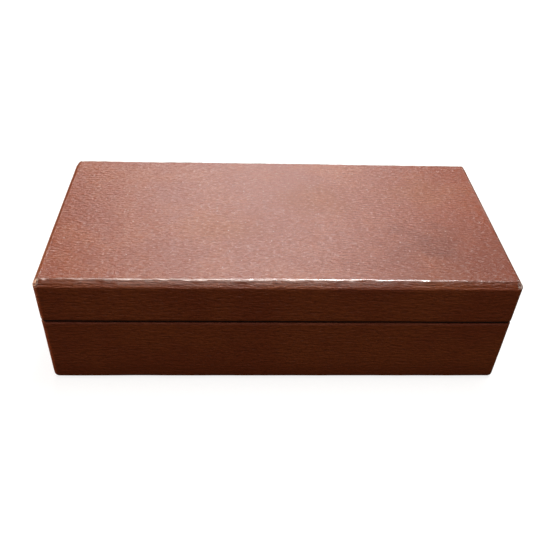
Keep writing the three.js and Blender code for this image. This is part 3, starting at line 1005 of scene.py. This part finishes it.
# %% Line the base and the lid
for name in ("floor", "front", "back", "left", "right"):
    wrapped_card(f"base_lining_{name}", "base", STOUT_ROUNDING)
for name in ("tray_rest_left", "tray_rest_right", "base_divider"):
    wrapped_card(name, "base", STOUT_ROUNDING)
for name in ("front", "back", "left", "right"):
    wrapped_card(f"lid_lining_{name}", "lid", LINING_ROUNDING)

# %% [markdown]
# The tray is covered in the same suede. Its two end walls have a notch for a fingertip in the
# middle of their top edge, by which the tray is lifted. It is cut with a rod before the wall is
# rounded, so that the suede turns over its edge as well.

# %% Cover the tray
FINGER_RADIUS = 9 * MM
FINGER_REACH = 8 * MM
for name in ("floor", "wall_front", "wall_back", "ring_divider", "long_divider", "short_divider"):
    wrapped_card(f"tray_{name}", "tray", STOUT_ROUNDING)
for name in ("left", "right"):
    low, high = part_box(f"tray_wall_{name}")
    notch_middle = ((low.x + high.x) / 2, 0, high.z)
    finger = rod("finger", FINGER_RADIUS, FINGER_REACH, notch_middle, sides=96)
    wrapped_card(f"tray_wall_{name}", "tray", STOUT_ROUNDING, notch=finger)

# %% [markdown]
# The case stands on a sheet of baize, glued under the floor board inside the turned-under hide.

# %% Baize under the base
wrapped_card("base_underside_sheet", "base", THIN_ROUNDING, baize, "baize")

# %% [markdown]
# ## Padded pieces
#
# The quilted pad in the lid and the ring rolls are cloth over wadding, so they are blown up as
# cloth: the piece is pinned where it is sewn down, and pressure pushes out the rest. Cloth in
# Blender behaves best at the size of furniture, so each piece is simulated twenty times larger
# and then brought back. Afterwards no point may be outside the box that the frame leaves for it.

# %% Blow a piece up as cloth
SIM_SCALE = 20
SIM_FRAMES = 20


def scale_by(piece, factor):
    only(piece)
    bpy.ops.transform.resize(value=(factor,) * 3, center_override=(0, 0, 0))
    bpy.ops.object.transform_apply(location=True, scale=True)


def blow_up(piece, sewn, pressure):
    scale_by(piece, SIM_SCALE)
    sewing = grade(piece, "sewn", lambda co: 1 if sewn(co / SIM_SCALE) else 0)
    cloth = piece.modifiers.new("cloth", "CLOTH")
    cloth.settings.vertex_group_mass = sewing
    cloth.settings.mass = 0.1
    cloth.settings.use_pressure = True
    cloth.settings.uniform_pressure_force = pressure
    cloth.settings.effector_weights.gravity = 0
    cloth.settings.tension_stiffness = 6
    cloth.settings.compression_stiffness = 6
    cloth.collision_settings.use_collision = False
    for number in range(1, SIM_FRAMES + 1):
        bpy.context.scene.frame_set(number)
    bpy.ops.object.modifier_apply(modifier="cloth")
    scale_by(piece, 1 / SIM_SCALE)
    piece.vertex_groups.clear()
    bpy.context.scene.frame_set(1)


# %% [markdown]
# What the cloth reached is printed, and any point past the piece's room is brought back to it. One
# subdivision then rounds the facets.


# %% Keep a pad inside its room
def puff(piece, sewn, pressure, low, high):
    blow_up(piece, sewn, pressure)
    for axis in range(3):
        places = [vertex.co[axis] / MM for vertex in piece.data.vertices]
        print(piece.name, "xyz"[axis], "reaches, mm:", round(min(places), 2), round(max(places), 2))
    for vertex in piece.data.vertices:
        for axis in range(3):
            vertex.co[axis] = min(max(vertex.co[axis], low[axis]), high[axis])
    apply(piece, "SUBSURF", levels=1, render_levels=1)
    smooth(piece, 180)


# %% [markdown]
# The lid's pad starts a little smaller than its room, and thinner on the side that faces the
# tray. It is sliced on the quilting's grid, so that the diamonds' lines run from corner to corner
# of its squares and can be sewn down vertex by vertex.

# %% The quilted pad in the lid
PAD_INSET, PAD_HOLLOW, PAD_LIFT = 0.3 * MM, 1.5 * MM, 0.1 * MM
PAD_PRESSURE = 90
pad_start = pad_low + Vector((PAD_INSET, PAD_INSET, PAD_HOLLOW))
pad_end = pad_high - Vector((PAD_INSET, PAD_INSET, PAD_LIFT))

pad = block("lid_quilt", pad_start, pad_end)
edit(pad)
slice_across(0, [pad_low.x + i * PAD_PITCH[0] for i in range(1, PAD_STEPS[0])])
slice_across(1, [pad_low.y + i * PAD_PITCH[1] for i in range(1, PAD_STEPS[1])])
leave()


def quilted(co):
    """Holds the pad along its quilting, round its sides and on its back."""
    across, along = co.x / PAD_PITCH[0] / PAD_CELLS, co.y / PAD_PITCH[1] / PAD_CELLS
    on_line = any(abs((line + 0.5) % 1 - 0.5) < 0.02 for line in (across + along, across - along))
    at_side = abs(co.x) > pad_high.x - MM or abs(co.y) > pad_high.y - MM
    return co.z > pad_high.z - MM or on_line or at_side


puff(pad, quilted, PAD_PRESSURE, *grow(pad_low, pad_high, -0.05 * MM))
hand_over(pad, satin, "lid", "satin", "lid_pad")

# %% [markdown]
# A ring roll is a sausage of wadding in suede, with flat ends gathered to a smaller disc. Rings
# stand in the grooves between two rolls. It is worked from a rod: each end is inset twice, its
# rim is rounded, and the length is sliced so that the cloth can swell between its ends.

# %% One ring roll
ROLL_SLACK = 0.4 * MM
ROLL_INSETS = 1.6 * MM, 1.8 * MM
ROLL_ROUNDING = 1.1 * MM
ROLL_SLICE = 2.2 * MM
ROLL_PRESSURE = 12
roll_low, roll_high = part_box("ring_roll_1")
roll_middle = (roll_low + roll_high) / 2
radius = (roll_high.z - roll_low.z) / 2
roll_length = roll_high.x - roll_low.x - 0.6 * MM


def end_rim(end):
    """A rule for the edges round one end of the roll. end is -1 or 1."""
    def is_rim(edge):
        for vertex in edge.verts:
            away = vertex.co - roll_middle
            if away.x * end < roll_length / 2 - MM or away.yz.length < radius - 0.6 * MM:
                return False
        return abs(edge.verts[0].co.x - edge.verts[1].co.x) < SAME_PLACE / 2
    return is_rim


roll = rod("ring_roll_cloth_1", radius - ROLL_SLACK, roll_length, roll_middle, sides=32)
edit(roll)
for end in (-1, 1):
    pick(roll, "FACE", lambda face: face.normal.x * end > 0.9)
    for inset in ROLL_INSETS:
        bpy.ops.mesh.inset(thickness=inset)
    print("edges round one end:", pick(roll, "EDGE", end_rim(end)))
    bevel(ROLL_ROUNDING, 3)
slice_across(0, steps(roll_low.x + 2 * MM, roll_high.x - 2 * MM, ROLL_SLICE))
leave()


def stuck_down(co):
    """Holds the roll along its underside and at its two ends."""
    at_end = abs(co.x - roll_middle.x) > roll_length / 2 - 0.25 * MM
    return co.z < roll_low.z + 1.1 * MM or at_end


roll_room = Vector((0.05, 0.08, 0.05)) * MM
puff(roll, stuck_down, ROLL_PRESSURE, roll_low + roll_room, roll_high - roll_room)

# %% [markdown]
# The other five are copies with meshes of their own. Every second one is turned end for end, so
# that neighbours don't show the same creases.

# %% Copy the ring roll
rolls = [roll]
for number in range(2, 7):
    only(roll)
    bpy.ops.object.duplicate(linked=False)
    copied = bpy.context.object
    if number % 2 == 0:
        bpy.ops.transform.rotate(value=math.pi, orient_axis="Z", center_override=roll_middle)
    low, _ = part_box(f"ring_roll_{number}")
    bpy.ops.transform.translate(value=(0, low.y - roll_low.y, 0))
    rolls.append(settle(copied, f"ring_roll_cloth_{number}"))
for number, made in enumerate(rolls, start=1):
    hand_over(made, suede, "tray", "suede", f"ring_roll_{number}")

# %% [markdown]
# ## The studio
#
# The case lies on a plain pale table in soft light. The table isn't part of the object. It glows
# faintly and evenly, and its light doesn't reach the case, which keeps it pale without washing out
# the leather.

# %% Floor
FLOOR_TONE = (0.22, 0.22, 0.22, 1)
FLOOR_GLOW = 0.84
bpy.ops.object.select_all(action="DESELECT")
bpy.ops.mesh.primitive_plane_add(size=6, location=(0, 0, 0))
floor = settle(bpy.context.object, "floor")
floor_finish, field = start_finish("floor_finish")
shade = {"Base Color": FLOOR_TONE, "Roughness": 0.9, "Specular IOR Level": 0.1}
glow = {"Emission Color": (1, 1, 1, 1), "Emission Strength": FLOOR_GLOW}
shader = field.node("ShaderNodeBsdfPrincipled", None, shade | glow)
field.node("ShaderNodeOutputMaterial", None, {"Surface": shader})
floor.data.materials.append(floor_finish)
floor.visible_diffuse = False
floor.visible_glossy = False

# %% [markdown]
# Six soft boxes light the case, all turned towards its middle. The window behind gives the lid
# its broad sheen, and the one overhead is off to the right, so that the top isn't evenly bright.
# The window in front is dim, so the walls stay dark. Two low, warm lamps pick out the two ends.

# %% Lights
LIT_POINT = Vector((0, 0, 0.05))
WHITE = (1.0, 1.0, 1.0)
DAYLIGHT = (1.0, 0.94, 0.88)
WARM_DAYLIGHT = (1.0, 0.93, 0.87)
AMBER = (1.0, 0.6, 0.36)
PALE_AMBER = (1.0, 0.85, 0.7)


def softbox(name, place, size, power, color):
    lamp = bpy.data.lights.new(name, "AREA")
    lamp.shape = "RECTANGLE"
    lamp.size, lamp.size_y = size
    lamp.energy = power
    lamp.color = color
    made = bpy.data.objects.new(name, lamp)
    made.location = place
    towards = LIT_POINT - made.location
    made.rotation_euler = towards.to_track_quat("-Z", "Y").to_euler()
    bpy.context.scene.collection.objects.link(made)
    print(name, "stands", round(towards.length, 2), "m away")


softbox("back_window", (0.0, 0.69, 0.54), (0.5, 0.3), 6.0, WHITE)
softbox("overhead", (0.20, 0.16, 1.1), (0.5, 0.1), 9.0, WHITE)
softbox("ceiling", (-0.1, -0.28, 1.6), (0.8, 0.6), 11.0, DAYLIGHT)
softbox("front_window", (0, -0.9, 0.6), (0.6, 0.4), 1.2, WARM_DAYLIGHT)
softbox("left_lamp", (-0.9, 0.10, 0.04), (0.3, 0.06), 6.5, AMBER)
softbox("right_lamp", (0.9, 0.20, 0.04), (0.3, 0.06), 1.0, PALE_AMBER)

# %% [markdown]
# The world is what the camera sees past the table, and the light that comes from everywhere. The
# Light Path node tells the two apart, so the background can be pale while the shadows stay brown.

# %% World
AMBIENT = (0.085, 0.042, 0.018, 1)
BACKDROP = (0.86, 0.86, 0.86, 1)
world = bpy.data.worlds.new("world")
bpy.context.scene.world = world
world.use_nodes = True
world.node_tree.nodes.clear()
field = Field(world.node_tree)
seen = field.node("ShaderNodeLightPath", None, None, "Is Camera Ray")
sky = blend(seen, AMBIENT, BACKDROP)
background = field.node("ShaderNodeBackground", None, {"Color": sky})
field.node("ShaderNodeOutputWorld", None, {"Surface": background})
bpy.context.scene.view_settings.view_transform = "Standard"
print("world nodes:", len(world.node_tree.nodes))
